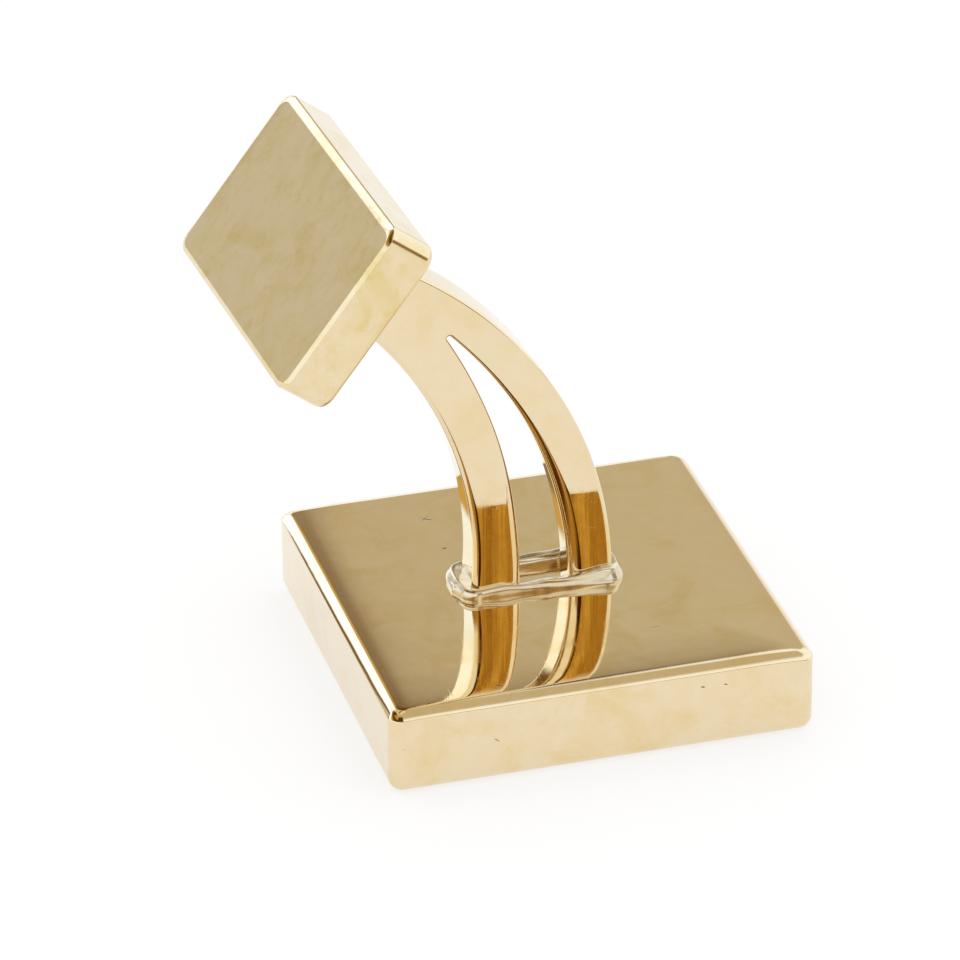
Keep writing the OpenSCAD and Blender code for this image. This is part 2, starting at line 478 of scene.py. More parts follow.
def worn_marks(tree, mm):
    """How deep a point lies in one of the few scratches and pits that can be made out."""
    depths = []
    for middle, half, turn in SMALL_MARKS:
        away = add_node(tree, "ShaderNodeVectorMath", operation="LENGTH")
        feed(tree, mapped(tree, mm, turn, half, middle, "TEXTURE"), away.inputs[0])
        depths.append(calculate(tree, "SUBTRACT", 1.0, away.outputs["Value"], clamp=True))
    return largest(tree, depths)


def handling_film(tree, mm, given):
    """Share of the film of handling: mottled, smudged, and finely speckled in patches."""
    mottle = patches(tree, mm, 0.36, 0.66, scale=1.3, detail=4.0, rough=0.6, distortion=0.4)
    smudge = patches(tree, mm, 0.45, 0.66, scale=0.42, detail=5.0, rough=0.6, distortion=0.9)
    film = calculate(tree, "ADD", product(tree, mottle, 0.45), smudge)
    film = calculate(tree, "MULTIPLY", film, given["Smudge"], clamp=True)
    speckle = patches(tree, mm, 0.44, 0.66, scale=2.2, detail=5.0, rough=0.7, distortion=0.3)
    spread = patches(tree, mm, 0.38, 0.58, scale=0.55, distortion=0.6)
    return calculate(tree, "ADD", film, product(tree, speckle, spread, given["Mottling"]),
                     clamp=True)


def hair_scratches(tree, mm):
    """Fine straight scratches in a few directions, each set in patches of its own."""
    sets = []
    for turn, patch_scale in HAIR_SETS:
        stretched = mapped(tree, mm, turn, HAIR_STRETCH)
        line = patches(tree, stretched, 0.66, 0.76, scale=1.0, rough=0.4)
        where = patches(tree, mm, 0.45, 0.62, scale=patch_scale, detail=1.0)
        sets.append(product(tree, line, where))
    return largest(tree, sets)


def small_pits(tree, mm):
    """Round pits of uneven size, in some of the cells of a grid without order."""
    cells = add_node(tree, "ShaderNodeTexVoronoi", feature="F1", distance="EUCLIDEAN")
    set_inputs(cells, scale=PIT_SPACING, randomness=1.0)
    feed(tree, mm, cells.inputs["Vector"])
    parts = add_node(tree, "ShaderNodeSeparateColor")
    feed(tree, cells.outputs["Color"], parts.inputs[0])
    chosen = calculate(tree, "GREATER_THAN", parts.outputs[0], 1.0 - PIT_SHARE)
    size = calculate(tree, "MULTIPLY_ADD", parts.outputs[1], PIT_RANGE, PIT_LEAST)
    away = calculate(tree, "DIVIDE", cells.outputs["Distance"], size)
    return product(tree, calculate(tree, "SUBTRACT", 1.0, away, clamp=True), chosen)


def handled_metal():
    """Node group: polished metal with mottling, smudges, hair scratches, pits and soft waves."""
    tree = bpy.data.node_groups.new("handled_metal", "ShaderNodeTree")
    for name, kind, default in METAL_INPUTS:
        made = tree.interface.new_socket(name=name, in_out="INPUT", socket_type=kind)
        made.default_value = default
    for name, kind in METAL_OUTPUTS:
        tree.interface.new_socket(name=name, in_out="OUTPUT", socket_type=kind)
    given = add_node(tree, "NodeGroupInput").outputs
    out = add_node(tree, "NodeGroupOutput").inputs

    grown = add_node(tree, "ShaderNodeVectorMath", operation="SCALE")
    feed(tree, add_node(tree, "ShaderNodeTexCoord").outputs["Object"], grown.inputs[0])
    grown.inputs["Scale"].default_value = 1 / MM
    mm = grown.outputs["Vector"]

    film = handling_film(tree, mm, given)
    hairs = hair_scratches(tree, mm)
    pit = small_pits(tree, mm)
    mark = ease(tree, product(tree, worn_marks(tree, mm), given["Marks"]), 0.0, 0.6)

    slow = cloud(tree, mm, scale=0.16, detail=1.0, rough=0.4)
    medium = cloud(tree, mm, scale=0.75)
    lines = cloud(tree, mapped(tree, mm, (0, 0, 0), LINE_STRETCH), scale=1.0, detail=3.0, rough=0.6)
    grain = cloud(tree, mm, scale=5.0, detail=3.0, rough=0.6)
    height = product(tree, slow, product(tree, given["Waves"], 4.0))
    height = calculate(tree, "MULTIPLY_ADD", medium, given["Waves"], height)
    height = calculate(tree, "SUBTRACT", height, product(tree, hairs, given["Scratches"]))
    height = calculate(tree, "SUBTRACT", height, product(tree, pit, given["Pits"]))
    height = calculate(tree, "MULTIPLY_ADD", lines, given["Lines"], height)
    height = calculate(tree, "MULTIPLY_ADD", grain, given["Grain"], height)
    feed(tree, calculate(tree, "MULTIPLY_ADD", mark, -MARK_DEPTH, height), out["Height"])

    colour = blend_colour(tree, film, given["Clean"], given["Film"])
    colour = blend_colour(tree, product(tree, pit, PIT_DARK), colour, PIT_BROWN)
    colour = blend_colour(tree, product(tree, mark, MARK_DARK), colour, MARK_BROWN)
    feed(tree, colour, out["Color"])

    rough = calculate(tree, "MULTIPLY_ADD", film, FILM_ROUGH, given["Gloss"])
    rough = calculate(tree, "MULTIPLY_ADD", hairs, HAIR_ROUGH, rough)
    feed(tree, calculate(tree, "MULTIPLY_ADD", pit, PIT_ROUGH, rough), out["Roughness"])
    return tree


def metal(name, clean, film, **amounts):
    """A material of bare metal whose surface comes from the shared group."""
    material = bpy.data.materials.new(name)
    material.use_nodes = True
    tree = material.node_tree
    shader = tree.nodes["Principled BSDF"]
    set_inputs(shader, metallic=1.0, coat_weight=bpy.context.scene.cufflink_finish.film,
               coat_roughness=0.03, coat_ior=1.5)
    surface = add_node(tree, "ShaderNodeGroup", location=(-500, 0))
    surface.node_tree = bpy.data.node_groups.get("handled_metal") or handled_metal()
    set_inputs(surface, clean=(*clean, 1.0), film=(*film, 1.0), **amounts)
    bump = add_node(tree, "ShaderNodeBump", location=(-250, -200))
    set_inputs(bump, strength=1.0, distance=MM)
    feed(tree, surface.outputs["Color"], shader.inputs["Base Color"])
    feed(tree, surface.outputs["Roughness"], shader.inputs["Roughness"])
    feed(tree, surface.outputs["Height"], bump.inputs["Height"])
    feed(tree, bump.outputs["Normal"], shader.inputs["Normal"])
    return material


DULL_FILM = (0.75, 0.59, 0.25)     # the end piece's film, from being pushed through cuffs


def finish_for(slot):
    """The material of one of the slots, made once."""
    name = slot + "_finish"
    found = bpy.data.materials.get(name)
    if found:
        return found
    look = bpy.context.scene.cufflink_finish
    gold, warm, smudge = tuple(look.gold), tuple(look.warm_gold), look.smudge
    clean, film, amounts = {
        "face_gold": (gold, warm, dict(smudge=smudge * 1.2, gloss=0.02, waves=0.003, marks=1.0)),
        "post_gold": (gold, warm, dict(smudge=smudge * 0.8, gloss=0.02, waves=0.002, lines=0.001)),
        "end_gold": (gold, DULL_FILM, dict(smudge=smudge * 1.2, gloss=0.07, waves=0.0012,
                                           grain=0.0013, mottling=0.5)),
        "solder": (tuple(look.solder), gold, dict(smudge=0.3, gloss=0.2, waves=0.006, pits=0.02)),
    }[slot]
    return metal(name, clean, film, **amounts)


# ---------------------------------------------------------------- the block


# Slope of the back, in degrees, at distances from the block's side.
BACK_DISTANCES = np.array([0.0, 0.30, 0.42, 0.50, 0.70, 1.0, 1.6, 2.4, 8.0])
BACK_SLOPES = np.array([9.0, 6.5, 4.6, 2.9, 1.9, 1.2, 0.55, 0.0, 0.0])
BACK_SAMPLES = 1601
FALL_LEFT, FALL_RIGHT = 1.7, 2.4     # against 1 for the near and far sides
BACK_STEPS = (2.5, 2.2, 1.9, 1.6, 1.35, 1.1, 0.9, 0.78, 0.68, 0.60, 0.54, 0.49, 0.45)
RIM_LIP = 0.07                       # length of the last turn from the rim into the side
RIM_SEED = 1
RIM_SCALE = 0.55
BLOCK_SIDE_STEPS = 56
BACK_CORNER_LEAST = 0.34
FACE_CORNER_LEAST = 0.06
TRAY_HEIGHTS = (1.9, 1.3, 0.8)
FACE_STEPS = (0.6, 0.8, 1.2)


def pillow(distance):
    """How far the back of the block has dropped at a distance from its side."""
    fine = np.linspace(0, BACK_DISTANCES[-1], BACK_SAMPLES)
    slope = np.interp(fine, BACK_DISTANCES, np.tan(np.radians(BACK_SLOPES)))
    total = np.concatenate([[0], np.cumsum((slope[1:] + slope[:-1]) / 2 * np.diff(fine))])
    return total[-1] - np.interp(distance, fine, total)


def crowned(row):
    """The block's back falls a little towards its sides."""
    fuller = np.where(row[:, 0] < 0, FALL_LEFT, FALL_RIGHT)
    row[:, 2] -= (fuller * pillow(BLOCK_HALF - np.abs(row[:, 0]))
                  + pillow(BLOCK_HALF - np.abs(row[:, 1])))
    return row


def block_ring(distance, height, corner_least=BACK_CORNER_LEAST, uneven=0.0):
    """One level outline of the block, at a distance in from its sides."""
    corner = max(UPRIGHT_CORNER - distance, corner_least)
    half = BLOCK_HALF - distance
    flat = outline(half, half, min(corner, half * CORNER_MOST), BLOCK_SIDE_STEPS)
    ring = at_height(flat, height)
    if uneven:
        away = flat / np.abs(flat).max(axis=1, keepdims=True)
        shift = wander(at_height(flat), RIM_SCALE, uneven, RIM_SEED)
        ring[:, :2] -= np.where(np.abs(away) > 0.999, np.sign(away), 0.0) * shift[:, None]
    return ring


def rim_profile(settings):
    """Distance from the side and drop of the rim round the block's back, from the flat outwards."""
    shoulder, rim = settings.shoulder / MM, settings.rim / MM
    run, drop = turned_edge([
        (shoulder * 0.4, 3, 8, 3),
        (shoulder * 1.3, 8, 14, 6),
        (shoulder * 0.3, 15, 24, 3),
        (rim, 25, 50, 10),
        (RIM_LIP, 51, 90, 8),
    ])
    return run[-1] - run, drop


class CUFFLINK_OT_back_sheet(bpy.types.Operator):
    """Shape the sheet that closes the block, with its soft rim and slight crown"""

    bl_idname = "cufflink.back_sheet"
    bl_label = "Back sheet"

    def execute(self, context):
        settings = context.scene.cufflink_block
        distances, drops = rim_profile(settings)
        uneven = settings.hand_finish / MM
        rows = [crowned(block_ring(step, BLOCK_TOP)) for step in BACK_STEPS
                if step > distances[0] + RING_GAP]
        fall = BLOCK_TOP - crowned(block_ring(distances[0], BLOCK_TOP))[:, 2]
        for i, (distance, drop) in enumerate(zip(distances, drops)):
            settled = 1 - i / (len(drops) - 1)
            ring = block_ring(distance, BLOCK_TOP - drop, uneven=uneven * settled)
            ring[:, 2] -= fall
            rows.append(ring)
        wall_to(rows, block_ring(0.0, 0.0), BLOCK_SEAM, (0.3, 0.65, 1.0))
        capped(rows).make("back_plate", ["back_sheet"], "face_gold")
        return {"FINISHED"}


class CUFFLINK_OT_face_tray(bpy.types.Operator):
    """Shape the pressed tray whose floor is the display face"""

    bl_idname = "cufflink.face_tray"
    bl_label = "Face tray"

    def execute(self, context):
        radius = context.scene.cufflink_block.face_round / MM
        rows = [block_ring(0.0, height) for height in (BLOCK_SEAM, *TRAY_HEIGHTS)]
        for turn in np.radians(np.linspace(0, 90, CORNER_STEPS + 1)):
            rows.append(block_ring(radius * (1 - math.cos(turn)), radius * (1 - math.sin(turn)),
                                   FACE_CORNER_LEAST))
        rows += [block_ring(step, 0.0, FACE_CORNER_LEAST) for step in FACE_STEPS]
        capped(rows).make("face_tray", ["face_shell"], "face_gold")
        return {"FINISHED"}


# ---------------------------------------------------------------- the post


FOOT_LEVEL = -0.08       # the legs' feet end just inside the block
SEAT_SINK = 0.18         # and the top a little inside the end piece


def spokes(turns):
    """Directions of length 1 at angles."""
    return np.c_[np.cos(turns), np.sin(turns)]


class Arc:
    """A circle that a wall of the post follows, along X and up from the block's back."""

    def __init__(self, x, z, radius):
        self.centre = np.array([x, z])
        self.radius = radius

    def points(self, turns):
        return self.centre + self.radius * spokes(turns)

    def turn_to(self, point):
        """Angle of a point, seen from the middle."""
        away = point - self.centre
        return math.atan2(away[1], away[0])

    def turn_at_foot(self):
        """Angle at which the arc reaches the foot's level, on its right side."""
        return math.asin((FOOT_LEVEL - self.centre[1]) / self.radius)

    def turn_at_seat(self):
        """Angle at which the arc reaches the seat plane, a little inside the end piece."""
        out = np.array([-math.sin(math.radians(SEAT_TILT)), math.cos(math.radians(SEAT_TILT))])
        level = (SEAT + out * SEAT_SINK - self.centre) @ out
        return math.atan2(out[1], out[0]) - math.acos(level / self.radius)

    def beyond(self, flat):
        """How far points lie outside the circle, and the way out to each."""
        offset = flat - self.centre
        size = np.linalg.norm(offset, axis=1)
        return size - self.radius, offset / size[:, None]


OUTER = Arc(-12.645, 0.131, 14.98)
INNER = Arc(-15.856, 1.653, 13.19)
SLOT_LEFT = Arc(-19.986, 0.599, 19.045)
SLOT_RIGHT = Arc(-14.061, -0.078, 14.852)

SIDE_EDGE_END = 9.0                # above it, the post's outer edges no longer narrow
LEFT_EDGE_FADE = (7.0, 5.0)        # where the slot's edges stop narrowing, and the height
RIGHT_EDGE_FADE = (10.0, 6.5)      # over which they do
SLOT_TOP_STEPS = 8
EDGE_STEPS = 10
FLAT_STEPS = 8
STEM_STEPS = 24
BAR_LEAST = 0.2                    # least width that a leg's crown is reckoned over
CROWN_MOST = 1.2
TIP_RADIUS = 0.05
TIP_ABOVE, TIP_FADE = 1.2, 1.6     # where the legs' two crowns become one


def slot_round(end_radius):
    """Middle of the round top of the slot, and the angles where it meets the slot's two walls."""
    a, b = SLOT_LEFT.radius + end_radius, SLOT_RIGHT.radius - end_radius
    between = SLOT_RIGHT.centre - SLOT_LEFT.centre
    gap = np.linalg.norm(between)
    along = (a * a - b * b + gap * gap) / (2 * gap)
    off = math.sqrt(max(a * a - along * along, 0.0))
    base = SLOT_LEFT.centre + between / gap * along
    side = np.array([-between[1], between[0]]) / gap
    middle = max((base + side * off, base - side * off), key=lambda p: p[1])
    return middle, SLOT_LEFT.turn_to(middle), SLOT_RIGHT.turn_to(middle)


def slot_halves(settings):
    """The slot's two walls up to its top: points, outward normals and edge radii, foot first."""
    end_radius, steps = settings.slot_end / MM, settings.stations
    small, large = settings.slot_edge / MM, settings.slot_foot / MM
    middle, left, right = slot_round(end_radius)
    top = (left + math.pi + right) / 2
    halves = []
    for arc, meet, turned, side, (start, span) in (
        (SLOT_LEFT, left, left + math.pi, 1, LEFT_EDGE_FADE),
        (SLOT_RIGHT, right, right, -1, RIGHT_EDGE_FADE),
    ):
        rise = np.linspace(arc.turn_at_foot(), meet, steps)
        over = np.linspace(turned, top, SLOT_TOP_STEPS + 1)[1:]
        points = np.concatenate([arc.points(rise), Arc(*middle, end_radius).points(over)])
        out = np.concatenate([side * spokes(rise), -spokes(over)])
        low = np.clip((start - points[:, 1]) / span, 0, 1)
        halves.append((points, out, small + (large - small) * eased(low)))
    return halves


def side_line(arc, way, top_edge, foot_edge, steps):
    """The outer side of the post, or its inner side for way -1, given as the slot's walls are."""
    turns = np.linspace(arc.turn_at_foot(), arc.turn_at_seat(), steps)
    points = arc.points(turns)
    low = np.clip(1 - points[:, 1] / SIDE_EDGE_END, 0, 1)
    return points, way * spokes(turns), top_edge + (foot_edge - top_edge) * eased(low)


def on_post(flat, y):
    """Points of the post's outline at a distance in front of or behind its middle."""
    return np.c_[flat[:, 0], np.broadcast_to(y, len(flat)), flat[:, 1] + BLOCK_TOP]


def edge_strip(skin, line):
    """A wall of the post with its two rounded edges."""
    points, out, edge = line
    rows, normals = [], []
    front = np.radians(np.linspace(90, 0, EDGE_STEPS + 1))
    for way, turns in ((-1, front), (1, front[::-1])):
        for turn in turns:
            cos, sin = math.cos(turn), math.sin(turn)
            inward = edge * (1 - cos)
            y = way * (POST_HALF_THICK - edge * (1 - sin))
            rows.append(on_post(points - out * inward[:, None], y))
            normals.append(np.c_[out[:, 0] * cos, np.full(len(points), way * sin), out[:, 1] * cos])
    skin.patch(np.array(rows), closed=False, normals=np.array(normals))


def share_across(first, second):
    """Where points lie between two walls, by their distances: -1 at the first, 1 at the second."""
    return (first - second) / np.maximum(first + second, BAR_LEAST)


def crown_normals(flat, crown, way):
    """Normals of the post's flat sides.

    Polishing has crowned each leg, and the whole bar above the slot.
    """
    inner, inner_out = INNER.beyond(flat)
    outer, outer_out = OUTER.beyond(flat)
    outer = -outer
    slot_left, slot_right = -SLOT_LEFT.beyond(flat)[0], SLOT_RIGHT.beyond(flat)[0]
    tip = slot_round(TIP_RADIUS)[0][1]
    parted = np.clip((tip + TIP_ABOVE - flat[:, 1]) / TIP_FADE, 0, 1)
    on_left = np.where(flat[:, 1] < tip, slot_left > 0, inner < outer)
    leg = np.where(on_left, share_across(inner, slot_left), share_across(slot_right, outer))
    whole = share_across(inner, outer)
    tilt = crown * np.clip(parted * leg + (1 - parted) * whole, -CROWN_MOST, CROWN_MOST)
    across = np.where(on_left[:, None], inner_out, outer_out)
    return np.c_[across[:, 0] * np.sin(tilt), way * np.cos(tilt), across[:, 1] * np.sin(tilt)]


def flat_strip(skin, left, right, crown, way):
    """A flat side of the post between two lines."""
    rows, normals = [], []
    for share in np.linspace(0, 1, FLAT_STEPS + 1):
        line = left + (right - left) * share
        rows.append(on_post(line, way * POST_HALF_THICK))
        normals.append(crown_normals(line, crown, way))
    skin.patch(np.array(rows), closed=False, normals=np.array(normals))


def resample(points, count):
    """The same line with evenly spaced points."""
    gaps = np.concatenate([[0], np.cumsum(np.linalg.norm(np.diff(points, axis=0), axis=1))])
    even = np.linspace(0, gaps[-1], count)
    return np.c_[np.interp(even, gaps, points[:, 0]), np.interp(even, gaps, points[:, 1])]


class CUFFLINK_OT_split_post(bpy.types.Operator):
    """Shape the curved post with the slot that splits it into two legs"""

    bl_idname = "cufflink.split_post"
    bl_label = "Split post"

    def execute(self, context):
        settings = context.scene.cufflink_post
        steps, inner_edge = settings.stations, settings.inner_edge / MM
        outer_edge, outer_foot = settings.outer_edge / MM, settings.outer_foot / MM
        lines = (side_line(INNER, -1, inner_edge, inner_edge, steps),
                 side_line(OUTER, 1, outer_edge, outer_foot, steps), *slot_halves(settings))
        skin = Skin()
        for line in lines:
            edge_strip(skin, line)
        inner, outer, slot_left, slot_right = [points - out * edge[:, None]
                                               for points, out, edge in lines]
        tip = (slot_left[-1] + slot_right[-1]) / 2
        seat = (inner[-1] + outer[-1]) / 2
        stem = resample(np.array([tip, seat]), STEM_STEPS)[1:]
        sides = []
        for line in (inner, outer):
            reach = int(np.argmin(np.linalg.norm(line - tip, axis=1)))
            sides.append(np.concatenate([resample(line[:reach + 1], len(slot_left)),
                                         resample(line[reach:], STEM_STEPS)[1:]]))
        for way in (-1, 1):
            flat_strip(skin, sides[0], np.concatenate([slot_left, stem]), settings.crown, way)
            flat_strip(skin, np.concatenate([slot_right, stem]), sides[1], settings.crown, way)
        skin.make("split_post_legs", ["split_post"], "post_gold")
        return {"FINISHED"}


# ---------------------------------------------------------------- the end piece


END_YAW = 6.0            # degrees that the end piece is out of square with the block
END_SPIN = -2.5          # degrees that it is turned on its seat
END_SHIFT = 0.16         # how far its middle lies off the seat's
END_SIDE_STEPS = 40
END_CORNER_LEAST = 0.12
END_CORNER_SHRINK = 0.8
END_STEPS = (1.6, 1.3, 1.1, 0.9, 0.75, 0.62, 0.52, 0.45, 0.41, 0.38)
END_CROWN = 0.02         # how far the faces fall towards their sides
CROWN_REACH = 1.2
END_SINK = 0.012         # how far they lie inside the solid's
BAND_CHANGE = (0.8, 0.5)     # the narrower band starts this far from the side, over this length
BAND_NARROWER = (0.35, 0.4)


def rotation(degrees, axis):
    return Matrix.Rotation(math.radians(degrees), 4, axis)


def on_seat():
    return Matrix.Translation((SEAT[0], 0.0, BLOCK_TOP + SEAT[1]))


def end_placement():
    """Tilted on its seat, and a little askew."""
    turn = rotation(END_YAW, "Z") @ rotation(-SEAT_TILT, "Y") @ rotation(END_SPIN, "Z")
    return on_seat() @ turn @ Matrix.Translation((END_SHIFT, END_SHIFT, 0.0))


def end_ring(distance, upright):
    """One outline of the end piece, at a distance in from its sides."""
    corner = max(upright - END_CORNER_SHRINK * distance, END_CORNER_LEAST)
    half_x, half_y = END_HALF[0] - distance, END_HALF[1] - distance
    return at_height(outline(half_x, half_y, min(corner, half_x * CORNER_MOST), END_SIDE_STEPS))


def narrowed(row, distance):
    """Moves a ring's points outwards where the band is narrower, and returns their shares of it."""
    start, span = BAND_CHANGE
    shares = []
    for axis, narrower in enumerate(BAND_NARROWER):
        near = np.clip((-row[:, axis] - (END_HALF[axis] - start)) / span, 0, 1)
        shares.append(1 - narrower * eased(near))
    for axis, share in enumerate(shares):
        row[:, axis] -= distance * (1 - share)
    return np.minimum(*shares)


def end_fall(row):
    """How far a face lies below its highest level, more towards its sides."""
    near = np.minimum(END_HALF[0] - np.abs(row[:, 0]), END_HALF[1] - np.abs(row[:, 1]))
    return END_CROWN * np.clip(1 - near / CROWN_REACH, 0, 1) ** 2 + END_SINK


def end_rows(rim, outer, way, upright):
    """Rings of one of the end piece's parts, from its face over its rim and down to the seam."""
    edge = rim[0][0]
    rows = []
    for distance in END_STEPS:
        if distance <= edge + RING_GAP:
            continue
        row = end_ring(distance, upright)
        if way > 0:
            narrowed(row, edge)
        row[:, 2] = outer - way * end_fall(row)
        rows.append(row)
    edge_fall = end_fall(end_ring(edge, upright))
    for distance, fall in rim:
        row = end_ring(distance, upright)
        share = narrowed(row, distance) if way > 0 else 1.0
        row[:, 2] = outer - way * (fall * share + edge_fall)
        rows.append(row)
    wall_to(rows, end_ring(0.0, upright), END_SEAM, (0.4, 1.0))
    return rows


class CUFFLINK_OT_end_piece(bpy.types.Operator):
    """Shape the end piece's tray and the sheet that closes it"""

    bl_idname = "cufflink.end_piece"
    bl_label = "End piece"

    def execute(self, context):
        settings = context.scene.cufflink_end
        run, drop = turned_edge([
            (0.03, 4, 17, 5),
            (settings.band / MM, 18, 33, 8),
            (settings.side_turn / MM, 36, 90, 9),
        ])
        soft = settings.cover_round / MM
        tray_rim = [(run[-1] - r, d) for r, d in zip(run, drop)]
        cover_rim = [(soft * (1 - math.sin(t)), soft * (1 - math.cos(t)))
                     for t in np.radians(np.linspace(4, 90, 14))]
        for name, node, outer, way, rim in (
            ("end_tray", "end_shell", END_DEPTH, 1, tray_rim),
            ("end_cover", "end_sheet", 0.0, -1, cover_rim),
        ):
            skin = capped(end_rows(rim, outer, way, settings.upright / MM), way)
            skin.place(end_placement())
            skin.make(name, [node], "end_gold")
        return {"FINISHED"}


# ---------------------------------------------------------------- solder


FOOT_HALF = 2.55         # half the length that the solder runs round at the legs' feet
FOOT_SHIFT = -0.22       # the middle of the two legs, along X
FOOT_CORNER, FOOT_INWARD = 0.22, 0.2
TOP_HALF = 1.03          # the same under the end piece
TOP_CORNER, TOP_INWARD = 0.2, 0.15
BEAD_SIDE_STEPS = 60
BEAD_TURNS = 41
BEAD_CREST = 0.1         # how far a full run's crest stands off the metal
OUTER_ROUND, INNER_ROUND = 0.9, 0.6   # how the run turns down outside and inside its crest
FULL_ROUND, THIN_ROUND = 0.8, 1.7     # how a full and a hollow run rise from the metal
RIDGE_TURNS, RIDGE_START = 6.0, 0.6   # ridges from the foot of the run to its top
RIDGE_SWAY, RIDGE_SWAY_SCALE = 1.5, 1.3
RIDGE_RISE = 0.6
BEAD_GRAIN = ((1.3, 0.032, 11), (3.4, 0.007, 12))     # scale, amount and seed of unevenness
GRAIN_SIDEWAYS = 0.8

# Reach of the solder along the front of the legs, at places along X.
FRONT_PLACES = (-2.6, -1.5, 0.0, 1.5, 2.6)
FRONT_REACH = (0.07, 0.09, 0.17, 0.27, 0.32)
BACK_REACH = 0.3
RIGHT_SHARE = 0.9              # reach of the right end, against the left one's
ENDS_FROM = (2.2, 0.35)        # where the ends' wider reach starts, and over what length
ENDS_FRONT = 1.15              # it fades out over the front of the legs
CLIMB_FROM = (1.0, 1.2)        # the same for the climb on the right leg
SWELL_FROM = (0.6, 1.2)        # and for the slight swell at the left leg
LEFT_SWELL = 0.05
HOLLOW = 0.8                   # how hollow the run is where it has climbed
FOOT_UNEVEN = (0.9, 0.1, 4)    # scale, amount and seed
FOOT_RIDGE, LEFT_RIDGE = 0.016, 0.04
LEFT_RIDGE_AT = (-2.5, -0.2, 0.75)     # place and size of the ridges at the left end

TOP_SHARE = 0.8                # mean share of the settings' reach and height
TOP_RANGE = (0.5, 1.0)
TOP_REACH_UNEVEN = (1.3, 0.3, 7)
TOP_HEIGHT_UNEVEN = (1.5, 0.3, 8)
TOP_FULLNESS = 0.1


def bead(half_x, corner, inward, profile, way=1):
    """A run of solder round a foot of the post.

    profile(points) gives the run's reach, height, fullness and ridges along the foot's outline.
    """
    base = outline(half_x, POST_HALF_THICK, corner, BEAD_SIDE_STEPS)
    away = outline(half_x + 1.0, POST_HALF_THICK + 1.0, corner + 1.0, BEAD_SIDE_STEPS) - base
    reach, height, full, ridge = profile(base)
    crest = BEAD_CREST * full
    sway = RIDGE_SWAY * np.sin(base[:, 0] * RIDGE_SWAY_SCALE)
    rows = []
    for turn in np.linspace(0, math.pi, BEAD_TURNS):
        cos, sin = math.cos(turn), math.sin(turn)
        if cos > 0:
            out = crest + (reach - crest) * cos ** OUTER_ROUND
        else:
            out = crest - (crest + inward) * (-cos) ** INNER_ROUND
        rounding = FULL_ROUND * full + THIN_ROUND * (1 - full)
        up = height * sin ** rounding if sin > 1e-9 else height * 0
        swell = ridge * np.sin(turn * RIDGE_TURNS + RIDGE_START + sway) * sin
        point = np.c_[base + away * (out + swell)[:, None], (up + swell * RIDGE_RISE) * way]
        grain = sum(wander(point, *layer) for layer in BEAD_GRAIN)
        point[:, 2] += grain * sin * way
        point[:, :2] += away * (grain * abs(cos) * GRAIN_SIDEWAYS)[:, None]
        rows.append(point)
    skin = Skin()
    skin.patch(np.array(rows), flip=way < 0)
    return skin


def from_place(x, start, span):
    """A share that grows from 0 to 1 over a span."""
    return np.clip((x - start) / span, 0, 1)


def bump_at(points, x, y, size):
    """A smooth hill round a place on the outline."""
    return np.exp(-((points[:, 0] - x) ** 2 + (points[:, 1] - y) ** 2) / size ** 2)


class CUFFLINK_OT_foot_solder(bpy.types.Operator):
    """Run the solder round the two legs where they stand on the block"""

    bl_idname = "cufflink.foot_solder"
    bl_label = "Foot solder"

    def execute(self, context):
        settings = context.scene.cufflink_solder
        reach, height = settings.foot_reach / MM, settings.foot_height / MM
        climb = settings.foot_climb / MM

        def profile(points):
            """Spreads most at both ends, and climbs into a hollow run on the right leg."""
            x, y = points[:, 0], points[:, 1]
            end = from_place(np.abs(x), *ENDS_FROM) * np.clip(ENDS_FRONT + y, 0, 1)
            side = np.where(y < 0, np.interp(x, FRONT_PLACES, FRONT_REACH), BACK_REACH)
            out = side + (reach * np.where(x < 0, 1.0, RIGHT_SHARE) - side) * end
            right = eased(from_place(x, *CLIMB_FROM))
            left = from_place(-x, *SWELL_FROM)
            uneven = wander(at_height(points), *FOOT_UNEVEN)
            up = height + (climb - height) * right + LEFT_SWELL * left + uneven
            ridge = FOOT_RIDGE + LEFT_RIDGE * bump_at(points, *LEFT_RIDGE_AT)
            return out, up, 1 - HOLLOW * right, ridge

        skin = bead(FOOT_HALF, FOOT_CORNER, FOOT_INWARD, profile)
        skin.move([FOOT_SHIFT, 0.0, BLOCK_TOP])
        skin.make("foot_bead", ["foot_solder"], "solder")
        return {"FINISHED"}


class CUFFLINK_OT_end_solder(bpy.types.Operator):
    """Run the thin line of solder where the post meets the end piece"""

    bl_idname = "cufflink.end_solder"
    bl_label = "End solder"

    def execute(self, context):
        settings = context.scene.cufflink_solder
        reach, height = settings.end_reach / MM, settings.end_height / MM

        def profile(points):
            """Thin, hollow and a little uneven all round."""
            line = at_height(points)
            out = reach * np.clip(TOP_SHARE + wander(line, *TOP_REACH_UNEVEN), *TOP_RANGE)
            up = height * np.clip(TOP_SHARE + wander(line, *TOP_HEIGHT_UNEVEN), *TOP_RANGE)
            return out, up, np.full(len(points), TOP_FULLNESS), np.zeros(len(points))

        skin = bead(TOP_HALF, TOP_CORNER, TOP_INWARD, profile, way=-1)
        skin.place(on_seat() @ rotation(-SEAT_TILT, "Y"))
        skin.make("end_bead", ["end_solder"], "solder")
        return {"FINISHED"}


# ---------------------------------------------------------------- the stage


FLOOR_DROP = 0.00002     # metres below the display face
FLOOR_STEPS = 96
FLOOR_GREY = 0.32        # how much light the floor gives back, which keeps its shadow soft
FLOOR_GLOW = 0.70        # and what is added where it is seen or mirrored
DOME_ROWS, DOME_COLUMNS = 24, 48
UNSEEN_BY = ("visible_camera", "visible_diffuse", "visible_transmission",
             "visible_volume_scatter", "visible_shadow")

